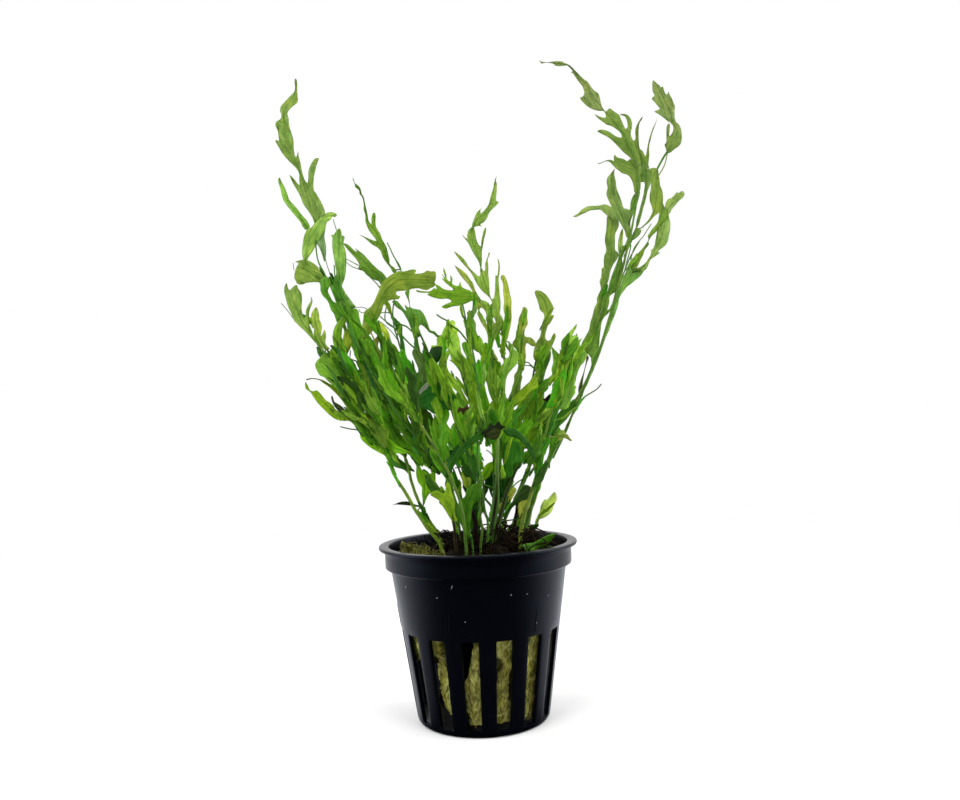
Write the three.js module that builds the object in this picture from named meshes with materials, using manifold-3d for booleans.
import * as THREE from "three";
import Module from "manifold-3d";

// Water fern in a slotted net pot. Millimetres, +Z up, origin at the centre of
// the pot's underside, the fern's broad side facing -Y.

// ---- driving dimensions -------------------------------------------------
const POT_HEIGHT = 50; // underside to the top of the rim
const RIM_RADIUS = 28.5; // outside of the rim flange
const FLANGE_THICK = 1.0;
const COLLAR_RADIUS = 26.8; // band below the flange
const COLLAR_BOTTOM_Z = 43.5;
const BODY_TOP_RADIUS = 25.25;
const BODY_BASE_RADIUS = 19.1;
const BASE_ROUND = 1.6; // rounded edge where the wall meets the floor
const WALL = 1.15;
const FLOOR_THICK = 1.2;
const SLOT_COUNT = 15;
const SLOT_FIRST_DEG = -7.5; // from the front, positive towards +X
const SLOT_BOTTOM_Z = 1.9;
const SLOT_TOP_Z = 26.5;
const SLOT_WIDTH_TOP = 4.6;
const SLOT_WIDTH_BOTTOM = 4.1;
const WOOL_BOTTOM_Z = 2.9;
const WOOL_TOP_Z = 45.6;
const WOOL_GAP = 0.3; // between the wool and the pot wall
const RHIZOME_LOW_Z = 46.0;
const RHIZOME_TOP_Z = 50.2;
const CROWN_Z = 50.6; // where the stems start, just above the rhizome
const LEAF_THICK = 0.5;
const STEM_SIDES = 5;
const TWIG_SIDES = 3;
const TWIG_RADIUS = 0.4;
const LEAF_STAGGER = 0.037; // keeps the faces of neighbouring lobes apart
const SMALLEST_DETAIL = 0.15;
// The fronds stand one behind another: each has its own layer from -1 (front)
// to +1 (back), and the layers fan apart with height.
const CROWN_DEPTH = 14; // half depth of the clump at the crown
const FAN_PER_MM = 0.19; // how fast the layers fan apart
const FAN_START_Z = 46;
// Outlines are drawn on the plane y = 0 and slid along the lines that meet at
// this point to their own depth.
const EYE = { x: 2.146, y: -254.7, z: 84.76 };

// Fronds: stem from the tip down to the crown, side shoots, leaf outlines (x, z).
const FRONDS = [
  { name: "frond_folded", layer: -1, rTop: 0.36, rBase: 0.44,
   stem: [[-29.1,112.4],[-22.1,96.1],[-10.6,76.2],[-6.8,68.0],[-4.2,59.2],[-3.5,49.1]],
   twigs: [{ off: 0, line: [[-28.4,110.6],[-29.6,110.7],[-30.3,110.7],[-29.4,112.9]] }],
   leaves: [
    { base: [-30.3, 110.7], tip: [-9.7, 126.8], tilt: 0.19, lean: 1.72, off: 0, edge: [[-16.3,129.7],[-15.5,128.4],[-9.7,128.9],[-9.4,125.1],[-12.0,123.5],[-21.0,123.3],[-20.5,121.1],[-24.1,120.4],[-30.9,109.9],[-30.4,118.1],[-25.5,125.6],[-21.9,128.7]] },
   ] },
  { name: "frond_low_front", layer: -0.9, rTop: 0.44, rBase: 0.55,
   stem: [[-6.8,56.1],[-6.4,48.0]],
   twigs: [{ off: 0, line: [[-6.7,55.4],[-7.1,58.1]] }],
   leaves: [
    { base: [-6.5, 55.8], tip: [-12.8, 64.4], tilt: 0.014, lean: -0.08, off: 0, edge: [[-8.3,67.6],[-9.0,64.5],[-13.3,64.3],[-6.8,55.5],[-5.7,56.3],[-6.3,61.8]] },
   ] },
  { name: "leaf_front_base", layer: -0.81, rTop: 0.36, rBase: 0.41,
   stem: [[-1.9,51.9],[-1.6,48.4]],
   twigs: [{ off: 0, line: [[-1.6,49.8],[-2.4,52.5]] }],
   leaves: [
    { base: [-2.0, 50.2], tip: [0.7, 66.8], tilt: 0.016, lean: 0.08, off: 0, edge: [[1.3,67.9],[1.3,62.4],[-1.4,59.1],[-1.5,48.9],[-5.3,56.3],[-5.4,60.5],[-2.7,65.3]] },
   ] },
  { name: "frond_centre_arching", layer: -0.72, rTop: 0.36, rBase: 0.38,
   stem: [[-2.0,119.3],[0.6,104.9],[3.2,79.2],[2.3,70.6],[0.9,64.8],[1.4,53.0],[0.8,48.8]],
   twigs: [{ off: 0, line: [[0.7,104.0],[1.8,104.6],[2.4,105.1],[1.3,107.2]] }, { off: 0, line: [[-1.7,117.7],[0.0,119.3],[0.9,121.0],[-1.4,121.2]] }],
   leaves: [
    { base: [2.4, 105.1], tip: [0.5, 116.0], tilt: 0.75, lean: -2.87, off: 0, edge: [[1.4,118.3],[-0.7,115.0],[-1.1,109.1],[2.7,104.6]] },
    { base: [0.9, 121.0], tip: [-15.0, 123.3], tilt: -0.226, lean: -1.72, off: 0, edge: [[-7.1,129.9],[-7.8,127.0],[-4.5,123.2],[-9.6,124.9],[-9.2,123.7],[-11.2,123.1],[-15.4,123.6],[-6.1,120.7],[-5.1,119.9],[-8.0,118.4],[-6.9,117.8],[1.5,120.4],[-2.3,125.6],[-3.0,124.3],[-5.1,127.5],[-5.3,125.7],[-6.1,126.4]] },
   ] },
  { name: "frond_left_low", layer: -0.62, rTop: 0.36, rBase: 0.58,
   stem: [[-43.3,106.8],[-35.4,99.0],[-29.4,87.7],[-23.9,70.9],[-16.3,57.3],[-11.0,49.9]],
   twigs: [{ off: 0, line: [[-25.3,75.4],[-27.3,77.3]] }, { off: 0, line: [[-43.2,106.7],[-43.3,107.0],[-43.4,107.3],[-44.8,109.2]] }, { off: 0, line: [[-42.6,106.2],[-42.2,106.8],[-42.1,107.4],[-43.1,109.4]] }, { off: 0, line: [[-29.3,87.4],[-28.7,88.0],[-28.5,88.5],[-30.2,90.0]] }, { off: -1.16, line: [[-34.7,94.3],[-37.2,96.8]] }, { off: 0, line: [[-26.9,79.4],[-26.2,79.9],[-25.8,80.3],[-27.3,82.1]] }, { off: 0, line: [[-17.4,59.2],[-16.7,59.9],[-16.4,60.6],[-18.4,61.3]] }, { off: 0.66, line: [[-29.4,84.9],[-30.9,84.8],[-31.8,84.6],[-33.1,86.5]] }, { off: 0.66, line: [[-32.3,85.3],[-33.3,85.1],[-33.8,84.9],[-35.5,86.5]] }, { off: 0.66, line: [[-33.3,84.8],[-36.3,86.5]] }, { off: 0, line: [[-26.7,81.0],[-24.3,79.1]] }],
   leaves: [
    { base: [-25.7, 75.6], tip: [-32.9, 82.4], tilt: 0.75, lean: 1.89, off: 0, edge: [[-32.6,82.8],[-31.9,79.8],[-25.2,74.8],[-27.4,79.0]] },
    { base: [-43.4, 107.3], tip: [-52.0, 125.0], tilt: -0.66, lean: 2.98, off: 0, edge: [[-52.9,127.1],[-53.7,124.5],[-51.0,115.9],[-43.3,106.8],[-46.7,114.8],[-46.0,122.9],[-48.0,116.7],[-48.9,124.3],[-50.1,126.4],[-52.1,125.0]] },
    { base: [-42.1, 107.4], tip: [-44.6, 119.3], tilt: 0.75, lean: -2.98, off: 0, edge: [[-44.5,119.7],[-46.1,117.1],[-45.6,111.8],[-43.0,107.4],[-40.9,107.3],[-42.0,112.3],[-43.5,111.2]] },
    { base: [-28.5, 88.5], tip: [-36.9, 96.7], tilt: -0.375, lean: -1.78, off: 0, edge: [[-36.9,96.7],[-34.0,91.2],[-28.5,88.5],[-33.0,94.4]] },
    { base: [-35.5, 95.2], tip: [-43.7, 103.6], tilt: 0.172, lean: 1.32, off: -1.16, edge: [[-42.4,106.5],[-45.4,102.9],[-44.0,99.7],[-39.0,95.6],[-34.9,94.9]] },
    { base: [-25.8, 80.3], tip: [-32.7, 90.7], tilt: -0.375, lean: 1.78, off: 0, edge: [[-32.7,90.7],[-29.8,83.3],[-25.8,80.3]] },
    { base: [-16.4, 60.6], tip: [-24.5, 61.3], tilt: -0.75, lean: -1.6, off: 0, edge: [[-20.3,62.3],[-16.2,60.6],[-24.6,61.2]] },
    { base: [-31.8, 84.6], tip: [-47.9, 98.6], tilt: 0.75, lean: -2.98, off: 0.66, edge: [[-46.4,99.1],[-42.8,98.1],[-39.0,95.4],[-32.1,87.1],[-31.2,85.1],[-31.8,84.0],[-41.0,95.7],[-44.3,98.4],[-48.1,98.5]] },
    { base: [-33.8, 84.9], tip: [-40.9, 93.5], tilt: -0.75, lean: -2.98, off: 0.66, edge: [[-40.7,93.6],[-33.0,84.3],[-39.9,90.2]] },
    { base: [-34.4, 85.3], tip: [-48.4, 97.7], tilt: 0.75, lean: -2.98, off: 0.66, edge: [[-48.4,98.1],[-48.3,96.0],[-41.8,88.3],[-34.1,84.4],[-34.1,86.1],[-45.2,95.5],[-47.0,95.5]] },
    { base: [-26.0, 80.3], tip: [-19.0, 76.4], tilt: -0.75, lean: -1.92, off: 0, edge: [[-26.4,81.2],[-18.4,76.5],[-25.1,77.6]] },
   ] },
  { name: "frond_bent_dark", stagger: 0.06, layer: -0.53, rTop: 0.36, rBase: 0.39,
   stem: [[-7.7,92.4],[-4.6,81.8],[1.5,65.4],[3.0,56.1],[2.7,49.8]],
   twigs: [{ off: 0, line: [[-6.2,88.1],[-5.4,88.7],[-4.9,89.4],[-6.8,90.6]] }, { off: -0.13, line: [[-15.3,91.5],[-15.6,91.2],[-15.7,91.0],[-15.2,93.1]] }, { off: 0, line: [[-2.6,76.4],[-4.5,76.5],[-5.6,76.6],[-6.8,78.6]] }, { off: 0, line: [[-5.6,76.6],[-7.3,73.4],[-7.9,70.1],[-6.9,72.2]] }],
   leaves: [
    { base: [-4.9, 89.4], tip: [-15.3, 91.5], tilt: 0.017, lean: -0.13, off: 0, edge: [[-11.6,97.2],[-5.1,92.3],[-4.3,89.9],[-5.8,88.0],[-11.4,87.3],[-14.8,89.2],[-16.1,91.6]] },
    { base: [-15.7, 91.0], tip: [-11.3, 97.8], tilt: -0.153, lean: 0.23, off: -0.13, edge: [[-11.6,98.1],[-15.8,90.4],[-14.9,95.0]] },
    { base: [-5.6, 76.6], tip: [-11.6, 88.5], tilt: 0.099, lean: 0.17, off: 0, edge: [[-11.6,88.5],[-10.2,81.8],[-5.6,76.6]] },
    { base: [-7.9, 70.1], tip: [3.0, 82.4], tilt: -0.044, lean: 0.14, off: 0, edge: [[3.6,83.0],[-7.9,69.5],[-5.3,77.8]] },
   ] },
  { name: "frond_left_inner", layer: -0.44, rTop: 0.36, rBase: 0.44,
   stem: [[-14.9,111.0],[-11.7,101.3],[-4.6,49.1]],
   twigs: [{ off: 0, line: [[-14.5,110.2],[-14.9,110.2],[-15.2,110.2],[-15.8,112.4]] }, { off: 0, line: [[-11.5,99.9],[-11.1,100.2],[-10.9,100.4],[-10.5,102.0]] }, { off: 0, line: [[-10.9,95.7],[-12.8,96.2],[-13.9,96.7],[-13.8,99.0]] }],
   leaves: [
    { base: [-15.2, 110.2], tip: [-17.9, 123.1], tilt: 0.448, lean: 2.98, off: 0, edge: [[-17.2,123.6],[-17.1,118.6],[-14.3,117.8],[-11.6,111.8],[-8.4,110.2],[-9.7,109.6],[-14.3,113.4],[-15.7,109.8],[-22.4,120.6],[-18.4,117.6],[-18.5,123.2]] },
    { base: [-10.9, 100.4], tip: [-9.2, 106.4], tilt: -0.75, lean: 2.2, off: 0, edge: [[-8.6,106.9],[-10.9,100.1],[-11.9,106.0]] },
    { base: [-13.9, 96.7], tip: [-15.9, 105.8], tilt: 0.069, lean: 0.25, off: 0, edge: [[-16.2,106.7],[-10.9,99.8],[-13.9,96.1],[-17.1,105.6]] },
   ] },
  { name: "frond_left_middle", layer: -0.35, rTop: 0.36, rBase: 0.46,
   stem: [[-38.9,131.8],[-37.6,120.3],[-33.9,109.1],[-22.6,88.9],[-7.4,67.1],[-2.6,49.0]],
   twigs: [{ off: 0, line: [[-15.7,79.3],[-17.2,81.6]] }, { off: 0, line: [[-37.4,119.9],[-37.1,120.1],[-37.0,120.3],[-37.2,122.7]] }, { off: 0, line: [[-31.3,104.5],[-31.9,104.4],[-32.3,104.4],[-32.7,106.7]] }, { off: 0, line: [[-7.0,65.5],[-7.8,65.6],[-8.2,65.7],[-8.1,68.0]] }, { off: 0, line: [[-36.4,117.0],[-37.2,117.1],[-37.7,117.1],[-38.9,119.1]] }, { off: 0, line: [[-25.2,93.6],[-26.2,93.5],[-26.8,93.4],[-28.2,95.3]] }, { off: -0.14, line: [[-19.3,83.9],[-20.6,83.5],[-21.4,83.0],[-22.8,84.9]] }, { off: 0, line: [[-36.5,117.3],[-35.3,118.2],[-34.7,119.1],[-36.2,120.9]] }, { off: 0.45, line: [[-33.2,103.4],[-35.1,104.3],[-36.3,105.1],[-36.1,106.8]] }, { off: 0.45, line: [[-35.9,104.8],[-37.3,104.7],[-38.1,104.6],[-38.5,106.9]] }],
   leaves: [
    { base: [-15.7, 79.9], tip: [-24.0, 90.4], tilt: 0.204, lean: -0.4, off: 0, edge: [[-24.0,90.4],[-22.2,85.4],[-15.7,79.9]] },
    { base: [-37.0, 120.3], tip: [-37.2, 142.0], tilt: -0.247, lean: -0.97, off: 0, edge: [[-37.0,142.5],[-39.5,140.8],[-38.5,122.7],[-35.9,118.8],[-33.1,119.4],[-36.9,125.5],[-35.3,133.7]] },
    { base: [-32.3, 104.4], tip: [-34.5, 116.7], tilt: 0.302, lean: 0.84, off: 0, edge: [[-33.0,118.9],[-31.0,112.8],[-31.1,103.8],[-33.2,103.8],[-35.8,113.6],[-36.2,117.4]] },
    { base: [-8.2, 65.7], tip: [-7.4, 75.5], tilt: -0.042, lean: 0.07, off: 0, edge: [[-6.5,76.7],[-7.8,65.1],[-8.9,75.3]] },
    { base: [-37.7, 117.1], tip: [-42.0, 127.5], tilt: -0.407, lean: -0.94, off: 0, edge: [[-41.7,128.5],[-43.2,127.6],[-43.1,124.1],[-38.6,114.9],[-36.2,117.7],[-40.4,122.8],[-40.0,126.3]] },
    { base: [-26.8, 93.4], tip: [-33.7, 104.4], tilt: 0.208, lean: 0.45, off: 0, edge: [[-33.7,104.4],[-31.8,98.0],[-26.8,93.4]] },
    { base: [-21.4, 83.0], tip: [-28.3, 93.5], tilt: -0.174, lean: 0.4, off: -0.14, edge: [[-28.3,93.5],[-26.4,87.2],[-21.4,83.0],[-24.0,88.8]] },
    { base: [-34.7, 119.1], tip: [-37.9, 127.4], tilt: 0.317, lean: -0.96, off: 0, edge: [[-38.5,128.9],[-33.0,119.2],[-35.9,117.5],[-40.1,124.5]] },
    { base: [-36.3, 105.1], tip: [-35.8, 111.8], tilt: -0.558, lean: -0.87, off: 0.45, edge: [[-36.1,112.7],[-34.4,109.4],[-37.0,104.0]] },
    { base: [-38.1, 104.6], tip: [-36.8, 116.2], tilt: 0.349, lean: -0.92, off: 0.45, edge: [[-36.2,117.4],[-37.0,104.0],[-39.6,105.1],[-40.1,110.7]] },
   ] },
  { name: "frond_centre", layer: -0.26, rTop: 0.36, rBase: 0.46,
   stem: [[6.2,114.6],[6.1,105.3],[7.1,87.2],[6.3,61.7],[4.1,49.7]],
   twigs: [{ off: 0, line: [[7.1,87.4],[6.9,90.1]] }, { off: 0, line: [[6.0,105.7],[6.6,108.4]] }, { off: 0, line: [[6.9,85.0],[7.6,87.7]] }, { off: 1.78, line: [[4.1,128.2],[3.4,131.9]] }, { off: 0, line: [[1.4,140.4],[3.2,143.6]] }, { off: 0, line: [[6.2,102.3],[6.6,102.5],[6.8,102.6],[6.2,104.9]] }, { off: 1.02, line: [[3.1,119.2],[3.3,119.5],[3.4,119.7],[2.3,121.8]] }, { off: 0.03, line: [[6.3,107.4],[8.6,107.7],[10.1,108.1],[10.5,110.3]] }, { off: 0, line: [[6.3,64.8],[2.5,66.3],[0.1,67.7],[-0.1,70.0]] }],
   leaves: [
    { base: [7.1, 87.8], tip: [4.7, 103.6], tilt: 0.75, lean: 2.98, off: 0, edge: [[6.1,105.3],[7.1,87.1],[3.5,99.6],[3.4,101.9],[5.3,101.0],[4.4,104.8]] },
    { base: [5.9, 106.2], tip: [3.9, 129.3], tilt: -0.206, lean: 1.78, off: 0, edge: [[-3.9,134.5],[2.9,127.0],[3.9,129.5],[5.0,128.8],[6.3,133.9],[6.6,120.2],[9.2,131.2],[9.9,112.1],[5.7,105.6],[5.5,114.6],[6.2,115.6],[7.5,113.4],[6.5,117.6],[3.6,119.7],[6.8,118.1],[6.4,119.9]] },
    { base: [7.2, 85.5], tip: [12.1, 105.1], tilt: 0.625, lean: -1.65, off: 0, edge: [[10.2,107.8],[13.9,103.8],[10.5,97.9],[10.0,90.4],[7.3,84.9],[7.8,98.8],[11.2,104.8]] },
    { base: [3.9, 129.6], tip: [2.0, 141.4], tilt: -0.375, lean: -1.78, off: 1.78, edge: [[1.7,141.5],[0.2,138.0],[-1.3,139.3],[3.9,129.2],[5.8,141.1],[4.0,135.7]] },
    { base: [2.0, 141.6], tip: [9.1, 155.6], tilt: 0.75, lean: 2.98, off: 0, edge: [[9.9,156.4],[9.8,148.5],[4.7,141.7],[1.7,141.6],[3.2,145.6],[6.8,148.1]] },
    { base: [6.8, 102.6], tip: [1.5, 121.2], tilt: -0.375, lean: 1.72, off: 0, edge: [[1.2,122.7],[5.3,117.3],[5.4,108.8],[7.8,102.3],[6.2,102.4],[2.2,116.4],[5.0,112.8],[5.0,115.5],[0.6,120.4]] },
    { base: [3.4, 119.7], tip: [-3.7, 130.2], tilt: 0.75, lean: -2.96, off: 1.02, edge: [[-4.0,130.4],[-0.6,127.9],[3.8,119.1]] },
    { base: [10.1, 108.1], tip: [10.0, 126.8], tilt: -0.75, lean: -2.98, off: 0.03, edge: [[9.9,127.1],[10.2,107.5],[12.4,119.5]] },
    { base: [0.1, 67.7], tip: [-5.1, 75.2], tilt: 0.244, lean: 0.94, off: 0, edge: [[-5.7,76.1],[-1.3,75.0],[2.0,71.7],[0.4,67.1]] },
   ] },
  { name: "frond_left_tall", layer: -0.17, rTop: 0.36, rBase: 0.52,
   stem: [[-44.1,144.6],[-43.3,132.6],[-40.3,126.0],[-34.5,108.3],[-22.2,84.5],[-18.3,66.7],[-16.5,61.8],[-9.8,50.2]],
   twigs: [{ off: 0, line: [[-44.0,143.6],[-44.5,146.3]] }, { off: 0, line: [[-18.7,69.9],[-20.6,71.9]] }, { off: 0, line: [[-15.8,60.5],[-15.5,60.8],[-15.4,61.1],[-15.0,63.4]] }, { off: 0, line: [[-41.1,127.8],[-42.0,127.8],[-42.6,127.8],[-44.3,129.0]] }, { off: 0, line: [[-42.8,131.4],[-42.0,132.1],[-41.5,132.8],[-41.8,135.1]] }, { off: 0, line: [[-44.0,141.6],[-45.4,142.1],[-46.2,142.6],[-47.5,144.6]] }, { off: -0.46, line: [[-48.0,131.1],[-47.5,132.3],[-47.4,133.6],[-46.9,135.9]] }],
   leaves: [
    { base: [-44.1, 144.0], tip: [-48.3, 186.9], tilt: 0.356, lean: -2.98, off: 0, edge: [[-48.5,187.1],[-49.0,183.1],[-53.1,178.8],[-52.9,176.2],[-54.8,173.6],[-53.9,168.9],[-54.9,169.2],[-48.3,159.2],[-48.3,155.6],[-51.0,158.8],[-44.1,144.3],[-41.1,147.0],[-44.1,154.0],[-42.3,163.3],[-44.4,162.2],[-45.9,156.2],[-48.3,165.7],[-49.2,164.1],[-51.1,177.0],[-48.0,180.0]] },
    { base: [-19.1, 70.2], tip: [-25.7, 76.5], tilt: -0.75, lean: -1.85, off: 0, edge: [[-26.2,76.8],[-24.5,73.3],[-19.0,69.5],[-20.0,73.1]] },
    { base: [-15.4, 61.1], tip: [-17.6, 75.1], tilt: 0.191, lean: 1.16, off: 0, edge: [[-18.3,76.2],[-15.5,71.5],[-13.3,69.9],[-12.0,70.7],[-10.9,65.2],[-11.0,63.8],[-13.2,64.4],[-15.5,60.6]] },
    { base: [-42.6, 127.8], tip: [-49.5, 131.9], tilt: 0.11, lean: -0.62, off: 0, edge: [[-47.9,133.8],[-50.3,133.2],[-49.9,126.7],[-42.9,126.7],[-41.7,128.1],[-43.9,131.7]] },
    { base: [-41.5, 132.8], tip: [-41.4, 142.5], tilt: 0.75, lean: 2.98, off: 0, edge: [[-41.1,142.7],[-41.7,132.8],[-43.8,138.4]] },
    { base: [-46.2, 142.6], tip: [-54.1, 157.6], tilt: -0.75, lean: 2.98, off: 0, edge: [[-54.2,158.0],[-53.1,151.3],[-46.9,142.4],[-45.6,143.1],[-46.3,144.8]] },
    { base: [-47.4, 133.6], tip: [-37.9, 146.6], tilt: 0.654, lean: 2.98, off: -0.46, edge: [[-40.2,147.3],[-37.6,146.5],[-40.6,144.4],[-44.9,136.1],[-47.8,133.7],[-46.5,142.5]] },
   ] },
  { name: "frond_right_near", layer: -0.08, rTop: 0.36, rBase: 0.67,
   stem: [[30.4,105.8],[26.4,93.8],[22.0,84.3],[12.6,52.8]],
   twigs: [{ off: 0, line: [[25.0,90.5],[25.8,93.1]] }, { off: 0, line: [[23.4,87.2],[23.8,87.2],[24.1,87.2],[25.2,89.2]] }, { off: 0, line: [[19.6,76.7],[20.1,76.8],[20.4,76.8],[21.2,79.0]] }, { off: 0, line: [[24.5,89.5],[24.0,89.9],[23.8,90.4],[24.4,92.6]] }, { off: -0.07, line: [[21.3,79.3],[23.4,79.4],[24.7,79.6],[25.8,79.8]] }],
   leaves: [
    { base: [25.1, 90.9], tip: [31.0, 111.7], tilt: 0.75, lean: 2.98, off: 0, edge: [[31.2,112.0],[29.5,108.1],[32.7,107.8],[32.2,105.3],[25.2,90.4],[24.2,90.6],[25.8,104.9]] },
    { base: [24.1, 87.2], tip: [32.3, 104.3], tilt: -0.535, lean: 1.69, off: 0, edge: [[32.2,105.3],[33.6,102.9],[29.9,96.2],[29.9,91.9],[27.5,87.6],[24.1,86.6]] },
    { base: [20.4, 76.8], tip: [25.1, 90.3], tilt: 0.375, lean: -0.92, off: 0, edge: [[25.4,91.2],[25.9,89.4],[20.5,76.3]] },
    { base: [23.8, 90.4], tip: [23.7, 105.2], tilt: 0, lean: 0, off: 0, edge: [[23.6,105.6],[25.8,103.1],[26.8,98.5],[23.2,89.9]] },
    { base: [24.7, 79.6], tip: [28.2, 78.1], tilt: 0.746, lean: 1.36, off: -0.07, edge: [[25.3,81.2],[28.4,78.1],[24.3,78.4]] },
   ] },
  { name: "frond_small_right", layer: 0.01, rTop: 0.36, rBase: 0.36,
   stem: [[13.8,67.6],[10.7,65.4],[9.2,62.5],[5.3,50.2]],
   twigs: [{ off: 0, line: [[8.6,60.6],[9.1,60.7],[9.4,60.7],[9.8,61.9]] }, { off: 0, line: [[7.0,56.0],[7.7,56.1],[8.1,56.2],[9.3,58.2]] }, { off: 0, line: [[6.8,55.5],[10.4,55.9],[12.6,56.3],[13.0,57.6]] }],
   leaves: [
    { base: [9.4, 60.7], tip: [11.2, 65.0], tilt: 0.75, lean: -1.26, off: 0, edge: [[11.0,65.4],[11.8,64.5],[9.3,60.4]] },
    { base: [8.1, 56.2], tip: [15.6, 64.0], tilt: -0.043, lean: -0.11, off: 0, edge: [[14.4,65.9],[16.5,64.6],[16.4,62.2],[10.8,59.7],[8.1,55.8],[11.5,63.3]] },
    { base: [12.6, 56.3], tip: [15.0, 61.0], tilt: 0.036, lean: 0.08, off: 0, edge: [[15.5,61.4],[12.5,55.6],[12.3,60.7]] },
   ] },
  { name: "frond_centre_right", layer: 0.1, rTop: 0.36, rBase: 0.38,
   stem: [[15.7,110.8],[14.2,102.1],[8.5,81.9],[3.3,51.1]],
   twigs: [{ off: 0, line: [[14.1,101.9],[14.5,102.0],[14.8,102.1],[14.7,104.4]] }, { off: 0, line: [[10.4,88.6],[10.0,88.9],[9.8,89.1],[11.1,91.1]] }, { off: 0, line: [[7.8,78.5],[7.4,78.8],[7.1,79.1],[8.2,81.1]] }, { off: 0, line: [[8.9,83.3],[7.9,83.9],[7.4,84.6],[9.0,86.3]] }, { off: 0, line: [[6.0,67.3],[8.5,67.9],[10.0,68.5],[10.0,70.8]] }],
   leaves: [
    { base: [14.8, 102.1], tip: [16.0, 117.2], tilt: 0.38, lean: 1.44, off: 0, edge: [[16.4,117.4],[15.8,109.9],[18.9,105.9],[16.4,106.9],[15.8,102.0],[13.9,102.1],[12.3,107.5]] },
    { base: [9.8, 89.1], tip: [14.8, 101.8], tilt: -0.75, lean: 1.72, off: 0, edge: [[13.9,102.1],[15.8,102.0],[13.9,93.5],[9.3,88.3]] },
    { base: [7.1, 79.1], tip: [15.5, 89.2], tilt: 0.604, lean: -1.22, off: 0, edge: [[15.7,89.4],[6.8,78.2],[9.1,84.7]] },
    { base: [7.4, 84.6], tip: [18.6, 96.7], tilt: -0.577, lean: -1.26, off: 0, edge: [[18.6,97.3],[19.1,93.9],[7.1,84.6],[11.5,91.4]] },
    { base: [10.0, 68.5], tip: [9.3, 79.0], tilt: 0.216, lean: 0.96, off: 0, edge: [[7.5,79.6],[9.6,68.0],[11.2,71.8],[13.8,72.3],[13.9,75.9],[13.0,78.0]] },
   ] },
  { name: "frond_left_upright", layer: 0.19, rTop: 0.36, rBase: 0.41,
   stem: [[-23.2,137.8],[-19.4,129.5],[-21.1,123.8],[-22.3,115.4],[-21.1,109.2],[-16.2,91.0],[-11.3,79.8],[-6.2,60.7],[-2.0,50.2]],
   twigs: [{ off: 0, line: [[-19.5,102.9],[-19.7,105.6]] }, { off: 0, line: [[-18.5,99.6],[-19.4,99.7],[-19.9,99.8],[-21.1,101.9]] }, { off: 0, line: [[-20.4,100.6],[-21.9,103.8]] }, { off: 0, line: [[-15.8,90.1],[-17.0,90.1],[-17.6,90.2],[-18.9,92.1]] }, { off: 0, line: [[-19.6,129.7],[-20.8,129.7],[-21.5,129.7],[-22.8,131.6]] }, { off: -1.78, line: [[-24.4,102.2],[-26.8,103.2],[-28.2,104.2],[-28.4,105.8]] }],
   leaves: [
    { base: [-19.5, 103.3], tip: [-21.2, 114.2], tilt: 0.75, lean: -2.98, off: 0, edge: [[-21.3,114.3],[-19.6,113.0],[-18.9,103.3],[-20.2,103.3]] },
    { base: [-19.9, 99.8], tip: [-24.9, 108.5], tilt: 0.75, lean: 2.98, off: 0, edge: [[-25.4,109.7],[-20.2,105.4],[-18.8,98.1],[-26.1,105.9]] },
    { base: [-21.0, 101.6], tip: [-26.4, 114.1], tilt: -0.75, lean: 2.98, off: 0, edge: [[-26.6,114.5],[-23.7,111.6],[-20.2,101.0],[-23.0,103.5],[-25.4,111.1],[-27.9,112.4]] },
    { base: [-17.6, 90.2], tip: [-25.0, 103.5], tilt: 0.375, lean: -1.78, off: 0, edge: [[-25.0,103.5],[-21.8,94.4],[-17.6,90.2]] },
    { base: [-21.5, 129.7], tip: [-32.5, 156.8], tilt: -0.597, lean: -2.98, off: 0, edge: [[-32.5,157.1],[-29.6,151.4],[-28.4,144.4],[-27.7,143.4],[-27.2,146.4],[-26.4,146.3],[-26.4,143.1],[-23.5,136.7],[-22.7,131.3],[-20.8,129.1],[-21.8,128.9],[-26.1,136.4],[-31.2,140.5],[-26.4,138.4],[-29.0,143.0],[-30.1,151.4]] },
    { base: [-28.2, 104.2], tip: [-27.4, 110.0], tilt: 0.75, lean: 2.05, off: -1.78, edge: [[-25.3,112.0],[-26.5,103.6],[-28.8,103.7],[-30.4,108.1],[-29.6,110.1],[-28.3,109.5]] },
   ] },
  { name: "frond_right_inner", layer: 0.28, rTop: 0.36, rBase: 0.49,
   stem: [[50.5,135.8],[46.8,129.5],[37.6,104.1],[18.9,65.6],[13.4,51.3]],
   twigs: [{ off: 0, line: [[31.4,90.5],[32.3,93.1]] }, { off: 0, line: [[21.5,70.4],[21.9,73.2]] }, { off: 0.49, line: [[23.8,79.7],[23.4,80.0],[23.1,80.2],[24.2,82.3]] }, { off: 1.06, line: [[48.2,126.8],[47.8,127.3],[47.7,127.7],[48.7,129.8]] }, { off: 1.06, line: [[47.9,126.4],[49.5,126.9],[50.5,127.3],[52.1,129.0]] }],
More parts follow.
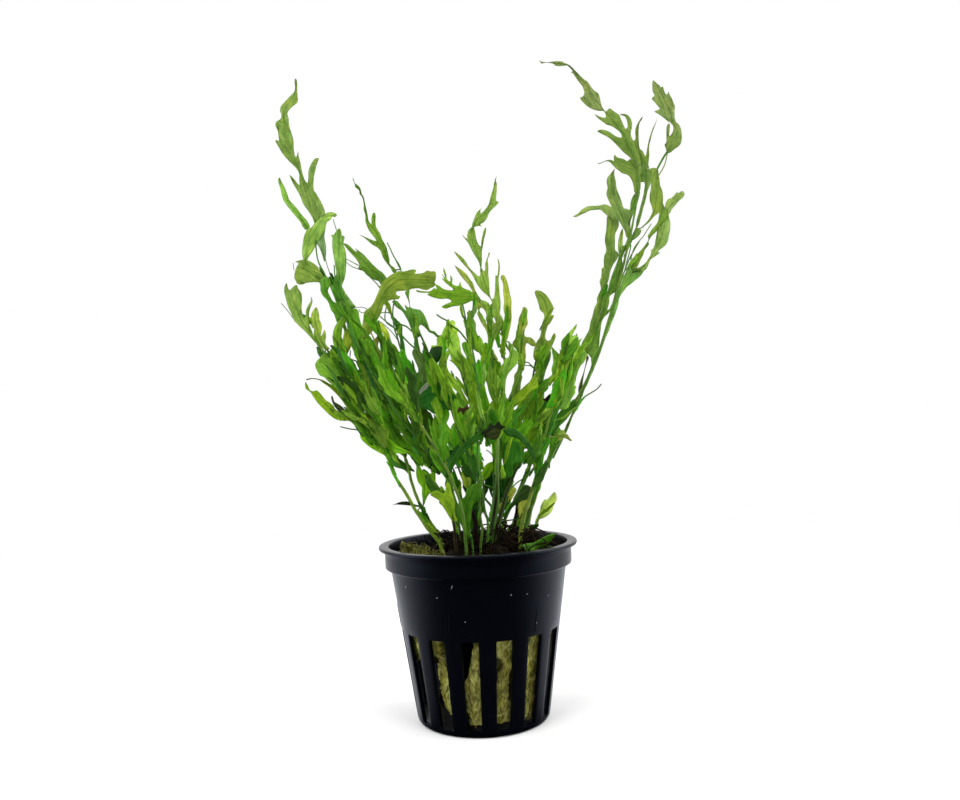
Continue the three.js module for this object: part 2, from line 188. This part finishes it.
   leaves: [
    { base: [31.5, 90.9], tip: [48.4, 127.1], tilt: 0.279, lean: 1.06, off: 0, edge: [[53.3,130.8],[51.0,126.2],[43.9,119.2],[36.8,101.3],[30.9,91.0],[46.8,128.5],[49.3,127.6]] },
    { base: [21.1, 71.0], tip: [24.2, 82.2], tilt: -0.325, lean: 0.85, off: 0, edge: [[23.8,83.1],[25.5,78.8],[20.8,70.4]] },
    { base: [23.1, 80.2], tip: [29.4, 89.3], tilt: 0.041, lean: -0.21, off: 0.49, edge: [[29.4,90.2],[30.5,88.7],[22.6,79.7],[24.0,85.1]] },
    { base: [47.7, 127.7], tip: [57.5, 145.5], tilt: -0.75, lean: -2.68, off: 1.06, edge: [[57.0,146.6],[58.8,144.6],[58.7,141.7],[53.8,136.6],[49.2,127.7],[47.1,127.1],[56.0,141.2]] },
    { base: [50.5, 127.3], tip: [63.3, 148.8], tilt: 0.75, lean: -2.98, off: 1.06, edge: [[63.6,149.7],[58.6,146.5],[53.4,131.4],[49.3,127.1],[51.8,127.0],[58.6,135.1],[59.3,143.1],[63.6,147.8]] },
   ] },
  { name: "frond_right_back", layer: 0.37, rTop: 0.36, rBase: 0.64,
   stem: [[21.0,119.3],[18.9,101.9],[15.3,84.3],[12.6,75.4],[13.3,71.9],[11.8,70.3],[8.8,63.8],[4.4,50.2]],
   twigs: [{ off: 0, line: [[15.0,83.9],[16.6,86.2]] }, { off: -0.55, line: [[20.2,100.7],[20.8,104.2]] }, { off: 0, line: [[12.8,76.2],[16.5,76.7],[18.8,77.2],[19.2,79.5]] }],
   leaves: [
    { base: [15.3, 84.3], tip: [20.8, 104.4], tilt: 0.153, lean: -0.77, off: 0, edge: [[19.1,104.8],[23.0,104.7],[20.6,95.1],[23.0,96.5],[18.9,87.9],[14.7,83.4],[19.0,92.8]] },
    { base: [20.6, 101.8], tip: [19.8, 121.9], tilt: -0.317, lean: 1.44, off: -0.55, edge: [[19.4,122.1],[22.1,121.3],[24.4,117.5],[24.6,114.8],[21.9,109.7],[22.6,107.4],[24.5,109.6],[24.9,108.5],[22.9,101.7],[18.3,101.9],[21.7,114.2]] },
    { base: [18.8, 77.2], tip: [21.9, 89.3], tilt: 0.078, lean: 0.21, off: 0, edge: [[22.3,89.7],[23.9,86.5],[18.6,76.3],[18.1,85.0],[19.5,88.8]] },
   ] },
  { name: "frond_inner_small", layer: 0.46, rTop: 0.36, rBase: 0.36,
   stem: [[5.5,74.8],[4.9,62.7],[3.3,51.7]],
   twigs: [{ off: 0, line: [[5.2,67.4],[6.4,67.9],[7.1,68.3],[7.1,70.7]] }, { off: 0, line: [[4.2,57.2],[5.6,57.6],[6.4,58.0],[6.5,58.9]] }, { off: 0.05, line: [[6.7,60.7],[7.2,61.6],[7.5,62.5],[6.7,64.1]] }, { off: -0.02, line: [[3.3,67.6],[2.0,67.4],[1.3,67.1],[2.3,68.5]] }, { off: -0.02, line: [[1.3,67.1],[-1.0,66.5],[-2.3,65.8],[-2.5,67.0]] }],
   leaves: [
    { base: [7.1, 68.3], tip: [6.6, 78.8], tilt: 0.75, lean: 1.36, off: 0, edge: [[6.2,79.1],[5.6,69.0],[7.2,67.9],[8.7,68.3],[8.6,70.2]] },
    { base: [6.4, 58.0], tip: [6.7, 61.4], tilt: -0.06, lean: 0.05, off: 0, edge: [[6.6,61.7],[7.2,59.4],[6.4,57.8],[5.7,58.8]] },
    { base: [7.5, 62.5], tip: [3.3, 67.6], tilt: 0.017, lean: -0.07, off: 0.05, edge: [[6.0,68.7],[7.6,66.8],[7.7,62.1],[3.1,65.7],[2.8,67.8]] },
    { base: [1.3, 67.1], tip: [5.1, 72.6], tilt: -0.086, lean: 0.13, off: -0.02, edge: [[4.9,72.9],[2.9,71.9],[1.2,66.6],[4.3,68.8]] },
    { base: [-2.3, 65.8], tip: [-3.5, 70.3], tilt: 0.75, lean: 1.44, off: -0.02, edge: [[-3.8,70.6],[-1.3,67.4],[-2.4,65.5]] },
   ] },
  { name: "frond_centre_back", layer: 0.55, rTop: 0.36, rBase: 0.38,
   stem: [[-5.9,108.7],[1.7,79.3],[2.6,72.0],[2.4,62.8],[4.4,59.7],[3.6,52.3]],
   twigs: [{ off: 0, line: [[-0.4,88.8],[-0.9,91.5]] }, { off: 0, line: [[-0.7,90.0],[-1.1,90.1],[-1.4,90.1],[-2.6,92.1]] }, { off: -1.46, line: [[-7.5,102.2],[-8.5,102.6],[-9.0,102.9],[-8.4,105.2]] }, { off: 0, line: [[1.4,80.6],[3.4,81.8],[4.5,82.9],[3.7,85.1]] }],
   leaves: [
    { base: [-0.5, 89.2], tip: [-6.0, 105.4], tilt: 0.75, lean: -2.98, off: 0, edge: [[-6.6,106.6],[-3.0,102.1],[-0.3,88.6],[-2.6,97.4],[-6.7,103.1]] },
    { base: [-1.4, 90.1], tip: [-7.6, 104.0], tilt: -0.268, lean: -1.78, off: 0, edge: [[-6.6,105.8],[-6.8,99.9],[-1.1,89.8],[-11.0,98.1]] },
    { base: [-9.0, 102.9], tip: [-5.2, 113.9], tilt: 0.492, lean: 2.98, off: -1.46, edge: [[-4.8,114.4],[-2.8,111.0],[-2.7,102.7],[-5.6,102.8],[-6.9,106.1],[-9.3,102.9],[-12.0,103.2],[-11.3,107.3],[-9.9,107.3],[-9.7,109.6]] },
    { base: [4.5, 82.9], tip: [-1.6, 107.3], tilt: -0.75, lean: 2.98, off: 0, edge: [[-0.7,107.9],[5.0,89.3],[4.1,82.1],[-0.4,89.5],[-2.5,107.6]] },
   ] },
  { name: "frond_right_tall", stagger: 0.06, layer: 0.64, rTop: 0.36, rBase: 0.73,
   stem: [[44.1,171.1],[47.1,166.8],[50.1,158.5],[50.8,153.4],[48.7,141.2],[43.2,121.4],[35.6,99.8],[31.2,91.5],[25.4,83.9],[22.3,78.5],[22.8,75.6],[17.5,63.9],[14.0,51.9]],
   twigs: [{ off: 0, line: [[47.1,134.6],[47.3,137.4]] }, { off: 0.03, line: [[47.6,136.0],[46.7,139.4]] }, { off: 0, line: [[50.6,150.3],[50.2,153.1]] }, { off: 0, line: [[31.3,91.3],[31.8,94.1]] }, { off: 0, line: [[50.4,156.9],[49.5,159.6]] }, { off: 1.78, line: [[42.5,172.8],[40.5,175.9]] }, { off: -1.07, line: [[33.8,102.1],[33.7,102.7],[33.8,103.4],[34.5,105.6]] }, { off: -0.27, line: [[45.0,131.5],[44.8,131.7],[44.7,131.9],[44.7,133.8]] }, { off: 0, line: [[47.5,136.5],[48.2,136.6],[48.7,136.8],[49.4,139.0]] }, { off: 1.76, line: [[53.3,156.1],[52.2,159.5]] }, { off: -1.07, line: [[34.1,104.6],[33.4,105.2],[33.0,105.7],[34.2,107.8]] }, { off: 0.04, line: [[49.5,139.1],[50.5,139.2],[51.1,139.3],[52.9,140.8]] }, { off: -1.57, line: [[56.2,153.7],[58.6,157.5],[59.8,161.3],[61.0,163.3]] }, { off: 0.2, line: [[62.2,168.4],[61.2,171.8]] }],
   leaves: [
    { base: [47.1, 135.1], tip: [50.4, 150.5], tilt: 0.375, lean: 1.78, off: 0, edge: [[51.1,150.2],[48.1,141.7],[48.4,135.8],[46.1,134.2],[48.3,147.3]] },
    { base: [47.2, 137.1], tip: [44.0, 156.9], tilt: -0.202, lean: -2.98, off: 0.03, edge: [[44.1,157.1],[41.5,153.3],[42.5,145.9],[35.5,146.2],[31.3,143.4],[39.3,145.1],[44.4,141.8],[47.0,136.5],[48.5,144.1],[46.2,145.4]] },
    { base: [50.4, 150.8], tip: [39.2, 158.7], tilt: 0.462, lean: -2.98, off: 0, edge: [[44.3,161.0],[51.6,157.8],[51.1,150.2],[49.8,149.6],[48.3,154.5],[42.4,159.1],[39.0,158.8],[43.9,159.3]] },
    { base: [31.3, 91.8], tip: [33.9, 102.5], tilt: -0.375, lean: -1.07, off: 0, edge: [[33.6,102.9],[34.3,102.0],[31.0,91.5]] },
    { base: [50.0, 157.3], tip: [41.8, 173.8], tilt: 0.262, lean: 1.78, off: 0, edge: [[43.1,174.9],[45.9,172.8],[47.7,168.6],[48.1,171.1],[46.1,172.9],[49.2,171.7],[51.7,158.1],[50.4,157.0],[43.4,165.5],[39.4,168.2],[46.4,166.2],[38.7,173.3],[41.9,172.2]] },
    { base: [41.8, 174.0], tip: [23.4, 189.4], tilt: -0.666, lean: -2.98, off: 1.78, edge: [[23.2,189.8],[29.9,189.2],[32.5,187.7],[40.1,179.4],[42.0,173.9],[38.4,174.7],[34.8,177.8],[36.0,179.3],[35.4,181.8],[31.2,188.0],[23.8,188.8]] },
    { base: [33.8, 103.4], tip: [46.7, 134.2], tilt: 0.362, lean: 1.18, off: -1.07, edge: [[46.2,134.5],[47.2,134.2],[45.2,130.9],[44.2,122.4],[41.0,119.5],[37.3,104.9],[34.9,102.0],[31.6,104.2],[37.5,112.3],[44.2,132.3]] },
    { base: [44.7, 131.9], tip: [45.6, 139.2], tilt: -0.75, lean: 2.57, off: -0.27, edge: [[45.5,139.4],[44.2,135.8],[44.7,131.6]] },
    { base: [48.7, 136.8], tip: [52.9, 157.5], tilt: 0.375, lean: 1.78, off: 0, edge: [[51.7,158.1],[53.9,157.8],[54.2,152.0],[49.8,139.2],[51.1,138.8],[48.4,135.8],[52.3,150.1]] },
    { base: [52.7, 157.2], tip: [52.6, 171.8], tilt: -0.671, lean: -2.98, off: 1.76, edge: [[52.7,172.1],[49.8,165.1],[51.8,157.2],[54.0,156.9],[57.0,171.5],[53.1,160.4],[51.4,164.6]] },
    { base: [33.0, 105.7], tip: [43.2, 142.5], tilt: 0.75, lean: 2.98, off: -1.07, edge: [[41.3,143.2],[38.5,121.9],[32.6,104.9],[37.6,112.3],[39.2,120.4],[44.1,131.9],[44.4,141.8]] },
    { base: [51.1, 139.3], tip: [56.5, 156.6], tilt: -0.318, lean: -1.61, off: 0.04, edge: [[55.7,156.8],[57.7,146.5],[56.6,143.7],[50.9,139.3],[54.5,144.0],[53.9,156.3]] },
    { base: [59.8, 161.3], tip: [61.9, 169.5], tilt: 0.375, lean: 1.77, off: -1.57, edge: [[62.5,170.0],[64.0,165.0],[59.6,161.0],[60.0,169.4],[60.4,166.1],[61.0,169.9]] },
    { base: [61.7, 169.5], tip: [56.5, 182.3], tilt: -0.75, lean: -2.98, off: 0.2, edge: [[56.3,182.7],[61.7,176.9],[61.7,169.2],[56.3,173.5],[57.9,174.2],[55.7,177.3]] },
   ] },
  { name: "frond_small_back", layer: 0.73, rTop: 0.36, rBase: 0.38,
   stem: [[16.3,73.2],[6.2,52.8]],
   twigs: [{ off: 0, line: [[15.5,71.1],[17.4,71.2],[18.5,71.4],[17.4,72.3]] }],
   leaves: [
    { base: [18.5, 71.4], tip: [13.9, 74.0], tilt: 0.586, lean: -1.44, off: 0, edge: [[16.0,75.6],[18.9,71.1],[14.0,72.3],[14.1,75.1]] },
   ] },
  { name: "frond_left_back", layer: 0.85, rTop: 0.36, rBase: 0.38,
   stem: [[-25.4,126.0],[-23.5,123.9],[-24.5,114.9],[-15.8,106.2],[-8.6,82.6],[1.9,52.9]],
   twigs: [{ off: 0, line: [[-24.8,125.4],[-24.4,126.0],[-24.2,126.6],[-25.9,128.2]] }],
   leaves: [
    { base: [-24.2, 126.6], tip: [-35.7, 137.7], tilt: 0.75, lean: 2.98, off: 0, edge: [[-36.0,138.1],[-30.0,134.4],[-23.4,126.5],[-25.5,125.6],[-31.9,130.6]] },
   ] },
  { name: "leaf_low_right", layer: -0.57, rTop: 0.36, rBase: 0.36,
   stem: [[12.4,48.2],[13.3,48.1]],
   twigs: [{ off: 0, line: [[12.8,48.2],[15.6,48.0]] }],
   leaves: [
    { base: [13.3, 48.0], tip: [22.7, 51.4], tilt: 0.75, lean: -2.98, off: 0, edge: [[23.0,51.6],[19.7,48.3],[21.5,47.6],[13.3,47.5],[13.1,48.6]] },
   ] },
  { name: "leaf_right_back", layer: 1, rTop: 0.36, rBase: 0.38,
   stem: [[17.2,54.7],[15.2,51.6]],
   twigs: [{ off: 0, line: [[17.0,54.3],[18.3,56.7]] }],
   leaves: [
    { base: [17.2, 54.7], tip: [22.7, 63.1], tilt: 0.75, lean: 2.98, off: 0, edge: [[22.8,63.5],[21.9,58.2],[17.6,53.9],[18.6,59.6]] },
   ] },
];

// Dead and dried stems that stand bare in the clump.
const OLD_STEMS = [
  { name: "stem_old_dark", layer: -0.4, rTop: 0.8, rBase: 0.8, stem: [[-0.9, 58.7], [-0.5, 54.2], [-0.3, 49.0]], twigs: [], leaves: [] },
  { name: "stem_old_brown", layer: 0.15, rTop: 0.5, rBase: 0.5, stem: [[11.7, 60.1], [11.5, 58.1], [11.0, 54.9], [10.4, 52.3]], twigs: [], leaves: [] },
];

const wasm = await Module();
wasm.setup();

const depthOf = (layer, z) =>
  layer * (CROWN_DEPTH + FAN_PER_MM * Math.max(0, z - FAN_START_Z));

function slide(x, z, y) {
  const k = (y - EYE.y) / -EYE.y;
  return new THREE.Vector3(EYE.x + (x - EYE.x) * k, y, EYE.z + (z - EYE.z) * k);
}

function toManifold(geometry) {
  const g = geometry.index ? geometry.toNonIndexed() : geometry;
  const p = g.getAttribute("position");
  const map = new Map(),
    verts = [],
    tris = [];
  for (let i = 0; i < p.count; i++) {
    const key = [p.getX(i), p.getY(i), p.getZ(i)]
      .map((v) => Math.round(v * 1e4))
      .join(",");
    if (!map.has(key)) {
      map.set(key, verts.length / 3);
      verts.push(p.getX(i), p.getY(i), p.getZ(i));
    }
    tris.push(map.get(key));
  }
  const keep = [];
  for (let i = 0; i < tris.length; i += 3) {
    const [a, b, c] = [tris[i], tris[i + 1], tris[i + 2]];
    if (a !== b && b !== c && a !== c) keep.push(a, b, c);
  }
  let m = new wasm.Manifold(
    new wasm.Mesh({
      numProp: 3,
      vertProperties: new Float32Array(verts),
      triVerts: new Uint32Array(keep),
    }),
  );
  if (m.volume() < 0) {
    for (let i = 0; i < keep.length; i += 3)
      [keep[i + 1], keep[i + 2]] = [keep[i + 2], keep[i + 1]];
    m = new wasm.Manifold(
      new wasm.Mesh({
        numProp: 3,
        vertProperties: new Float32Array(verts),
        triVerts: new Uint32Array(keep),
      }),
    );
  }
  return m;
}

function toGeometry(m) {
  const mesh = m.getMesh();
  const n = mesh.numProp;
  const v = new Float32Array(mesh.numVert * 3);
  for (let i = 0; i < mesh.numVert; i++)
    v.set(mesh.vertProperties.subarray(i * n, i * n + 3), i * 3);
  const g = new THREE.BufferGeometry();
  g.setAttribute("position", new THREE.BufferAttribute(v, 3));
  g.setIndex(new THREE.BufferAttribute(new Uint32Array(mesh.triVerts), 1));
  g.computeVertexNormals();
  return g;
}

// A blade: its outline extruded by the leaf thickness, then bent onto the
// frond's layer with its own lean from base to tip and tilt across the midrib.
function bladeSolid(leaf, layer, stagger) {
  const shape = new THREE.Shape(leaf.edge.map(([x, z]) => new THREE.Vector2(x, z)));
  const g = new THREE.ExtrudeGeometry(shape, {
    depth: LEAF_THICK,
    steps: 1,
    bevelEnabled: false,
  });
  const [bx, bz] = leaf.base,
    [tx, tz] = leaf.tip;
  const len = Math.hypot(tx - bx, tz - bz),
    ux = (tx - bx) / len,
    uz = (tz - bz) / len;
  const p = g.getAttribute("position");
  for (let i = 0; i < p.count; i++) {
    const x = p.getX(i),
      z = p.getY(i);
    const along = Math.min(1, Math.max(0, ((x - bx) * ux + (z - bz) * uz) / len));
    const across = (x - bx) * uz - (z - bz) * ux;
    const y =
      depthOf(layer, z) +
      leaf.off +
      stagger +
      leaf.lean * along * along +
      leaf.tilt * across * Math.min(1, Math.max(0, (along - 0.22) * 3)) +
      (p.getZ(i) - LEAF_THICK / 2);
    const q = slide(x, z, y);
    p.setXYZ(i, q.x, q.y, q.z);
  }
  return toManifold(g);
}

// A round shoot along a line of points, its radius changing evenly to its end.
function shootSolid(points, radius, sides = STEM_SIDES, endRadius = radius) {
  const curve = new THREE.CatmullRomCurve3(points, false, "centripetal");
  const ring = new THREE.Shape();
  for (let i = 0; i < sides; i++) {
    const a = (i / sides) * Math.PI * 2;
    const x = Math.cos(a) * radius,
      y = Math.sin(a) * radius;
    if (i) ring.lineTo(x, y);
    else ring.moveTo(x, y);
  }
  const steps = Math.max(
    2,
    points.length - 1,
    Math.round(curve.getLength() / 20),
  );
  const g = new THREE.ExtrudeGeometry(ring, {
    steps,
    bevelEnabled: false,
    extrudePath: curve,
  });
  if (endRadius !== radius) {
    const centres = curve.getSpacedPoints(steps);
    const p = g.getAttribute("position");
    for (let i = 0; i < p.count; i++) {
      const v = new THREE.Vector3().fromBufferAttribute(p, i);
      let k = 0;
      centres.forEach((c, j) => {
        if (c.distanceTo(v) < centres[k].distanceTo(v)) k = j;
      });
      const r = radius + ((endRadius - radius) * k) / steps;
      v.sub(centres[k]).multiplyScalar(r / radius).add(centres[k]);
      p.setXYZ(i, v.x, v.y, v.z);
    }
  }
  return toManifold(g);
}

const onLayer = (layer, [x, z]) => slide(x, z, depthOf(layer, z));

// Every point of a line down to the crown height; the last one is moved so
// that the shoot ends there.
function trimAtCrown(points) {
  const out = [];
  for (const p of points) {
    const last = out[out.length - 1];
    if (p.z > CROWN_Z) {
      out.push(p);
      continue;
    }
    if (last) {
      const t = (last.z - CROWN_Z) / (last.z - p.z);
      out.push(last.clone().lerp(p, t));
    }
    return out;
  }
  const end = out[out.length - 1];
  out.push(new THREE.Vector3(end.x, end.y, CROWN_Z));
  return out;
}

function frondSolid(frond, toCrown = true) {
  const raw = frond.stem.map((q) => onLayer(frond.layer, q));
  const line = toCrown ? trimAtCrown(raw) : raw;
  const parts = [];
  parts.push(shootSolid(line, frond.rTop, STEM_SIDES, frond.rBase));
  for (const t of frond.twigs)
    parts.push(
      shootSolid(
        t.line.map(([x, z]) => slide(x, z, depthOf(frond.layer, z) + t.off)),
        TWIG_RADIUS,
        TWIG_SIDES,
      ),
    );
  frond.leaves.forEach((leaf, i) =>
    parts.push(bladeSolid(leaf, frond.layer, ((i % 5) - 2) * (frond.stagger ?? LEAF_STAGGER))),
  );
  // sealed specks left inside the joins are dropped
  const [body, ...rest] = wasm.Manifold.union(parts)
    .simplify(SMALLEST_DETAIL)
    .decompose()
    .filter((b) => b.volume() > 0.05)
    .sort((a, b) => b.volume() - a.volume());
  return rest.length ? wasm.Manifold.union([body, ...rest]) : body;
}

// ---- pot ----------------------------------------------------------------
const latheSolid = (profile, n) =>
  toManifold(new THREE.LatheGeometry(profile.map(([r, z]) => new THREE.Vector2(r, z)), n).rotateX(Math.PI / 2));

function innerRadius(z) {
  const t = (z - FLOOR_THICK) / (COLLAR_BOTTOM_Z - FLOOR_THICK);
  return BODY_BASE_RADIUS + (BODY_TOP_RADIUS - BODY_BASE_RADIUS) * Math.min(1, t) - WALL;
}

function potSolid() {
  const r0 = BODY_BASE_RADIUS,
    r1 = BODY_TOP_RADIUS;
  const collarIn = COLLAR_RADIUS - WALL;
  const profile = [
    [0, 0],
    [r0 - BASE_ROUND, 0],
    [r0 - BASE_ROUND * 0.35, BASE_ROUND * 0.3],
    [r0, BASE_ROUND],
    [r1, COLLAR_BOTTOM_Z],
    [COLLAR_RADIUS, COLLAR_BOTTOM_Z + 0.25],
    [COLLAR_RADIUS, POT_HEIGHT - FLANGE_THICK],
    [RIM_RADIUS, POT_HEIGHT - FLANGE_THICK],
    [RIM_RADIUS, POT_HEIGHT - 0.15],
    [RIM_RADIUS - 0.2, POT_HEIGHT],
    [collarIn, POT_HEIGHT],
    [collarIn, COLLAR_BOTTOM_Z + 1.6],
    [r1 - WALL, COLLAR_BOTTOM_Z + 0.2],
    [innerRadius(FLOOR_THICK + 1), FLOOR_THICK + 1],
    [innerRadius(FLOOR_THICK) - 0.8, FLOOR_THICK],
    [0, FLOOR_THICK],
  ];
  let pot = latheSolid(profile, 30);
  const slot = new THREE.Shape();
  slot.moveTo(-SLOT_WIDTH_BOTTOM / 2, SLOT_BOTTOM_Z);
  slot.lineTo(SLOT_WIDTH_BOTTOM / 2, SLOT_BOTTOM_Z);
  slot.lineTo(SLOT_WIDTH_TOP / 2, SLOT_TOP_Z);
  slot.lineTo(-SLOT_WIDTH_TOP / 2, SLOT_TOP_Z);
  slot.closePath();
  const cuts = [];
  for (let i = 0; i < SLOT_COUNT; i++) {
    const a = ((SLOT_FIRST_DEG + (i * 360) / SLOT_COUNT) * Math.PI) / 180;
    const g = new THREE.ExtrudeGeometry(slot, { depth: 16, bevelEnabled: false });
    // shape's y becomes +Z, the extrusion points outwards at -Y, then turned
    g.rotateX(Math.PI / 2);
    g.translate(0, -12, 0);
    g.rotateZ(a);
    cuts.push(toManifold(g));
  }
  return pot.subtract(wasm.Manifold.union(cuts));
}

function woolSolid() {
  const profile = [
    [0, WOOL_BOTTOM_Z],
    [innerRadius(WOOL_BOTTOM_Z) - WOOL_GAP - 0.6, WOOL_BOTTOM_Z],
    [innerRadius(WOOL_BOTTOM_Z + 1) - WOOL_GAP, WOOL_BOTTOM_Z + 1],
    [innerRadius(14) - WOOL_GAP - 0.3, 14],
    [innerRadius(27) - WOOL_GAP, 27],
    [innerRadius(COLLAR_BOTTOM_Z - 1.2) - WOOL_GAP, COLLAR_BOTTOM_Z - 1.2],
    [innerRadius(COLLAR_BOTTOM_Z) - WOOL_GAP - 1.2, WOOL_TOP_Z - 0.4],
    [14, WOOL_TOP_Z],
    [0, WOOL_TOP_Z],
  ];
  return latheSolid(profile, 30);
}

// Creeping rootstock: short thick lengths lying on the wool.
function rhizomeSolid() {
  const lumps = [
    [-9, -6, 6.2, 3.2],
    [-3, -9.5, 6.8, 3.0],
    [-2, -2, 7.5, 4.2],
    [5, 3, 7.5, 4.4],
    [3, -6.5, 6.2, 3.2],
    [10.5, 7.5, 6.0, 3.6],
    [8.5, 0, 5.0, 3.0],
    [2, 11, 5.6, 3.4],
    [-6, 5, 5.6, 3.6],
  ];
  const rz = (RHIZOME_TOP_Z - RHIZOME_LOW_Z) / 2;
  return wasm.Manifold.union(
    lumps.map(([x, y, a, b], i) => {
      const g = new THREE.SphereGeometry(1, 8, 5);
      g.rotateX(Math.PI / 2);
      g.scale(a, b, rz - (i % 3) * 0.2);
      g.rotateZ((i * 37 * Math.PI) / 180);
      g.translate(x, y, RHIZOME_LOW_Z + rz - (i % 3) * 0.2);
      return toManifold(g);
    }),
  );
}

const rootsSolid = (lines, r) =>
  wasm.Manifold.union(
    lines.map((l) => shootSolid(l.map(([x, y, z]) => new THREE.Vector3(x, y, z)), r)),
  ).simplify(SMALLEST_DETAIL);

// Old roots standing above the wool at the right of the crown.
const ROOTS_RIGHT = [
  [[12.2, -5.5, 51.2], [9.5, -5.2, 53.6], [13, -4.6, 55.2], [17, -4.4, 54.4], [19.2, -4.6, 52], [17.5, -5.2, 50.9]],
  [[10, -4.2, 51.2], [13.4, -5.2, 53.2], [17, -4.8, 52.6], [15, -4.2, 51.2], [11.5, -4.8, 52.2]],
  [[8.8, -5.6, 51.4], [11.4, -4.8, 54.6], [15.2, -5.4, 53.8], [18.8, -4.6, 50.9], [20.4, -4.8, 49.2], [20.2, -5, 46.6]],
];
const ROOTS_LEFT = [
  [[-6.3, -9.6, 51.2], [-6.8, -9.4, 53], [-6.4, -9.2, 55.2], [-5.4, -9.4, 56.6]],
  [[-5.2, -9.5, 51], [-4.6, -9.3, 53.4], [-5.6, -9.3, 55.4]],
  [[-4, -9.6, 50.9], [-5, -9.4, 52.4], [-6.6, -9.4, 53.6], [-8, -9.5, 54]],
  [[-6.6, -9.6, 51.2], [-5.2, -9.5, 51.4], [-3.8, -9.5, 51.1]],
];

function makeMesh(name, solid, colour, rough) {
  const mesh = new THREE.Mesh(
    toGeometry(solid),
    new THREE.MeshStandardMaterial({ color: colour, roughness: rough, metalness: 0 }),
  );
  mesh.name = name;
  return mesh;
}

const root = new THREE.Group();
root.name = "water_fern";
root.add(makeMesh("pot", potSolid(), 0x0d0f14, 0.4));
root.add(makeMesh("rock_wool", woolSolid(), 0x7d7838, 0.95));
root.add(makeMesh("rhizome", rhizomeSolid(), 0x2a2216, 0.8));
root.add(makeMesh("roots_right", rootsSolid(ROOTS_RIGHT, 0.42), 0x2c241c, 0.85));
root.add(makeMesh("roots_left", rootsSolid(ROOTS_LEFT, 0.4), 0x33281c, 0.85));
for (const stump of OLD_STEMS)
  root.add(makeMesh(stump.name, frondSolid(stump), 0x1a1410, 0.8));
for (const frond of FRONDS)
  root.add(makeMesh(frond.name, frondSolid(frond, frond.name !== "leaf_low_right"), 0x5c8a22, 0.5));

export default root;
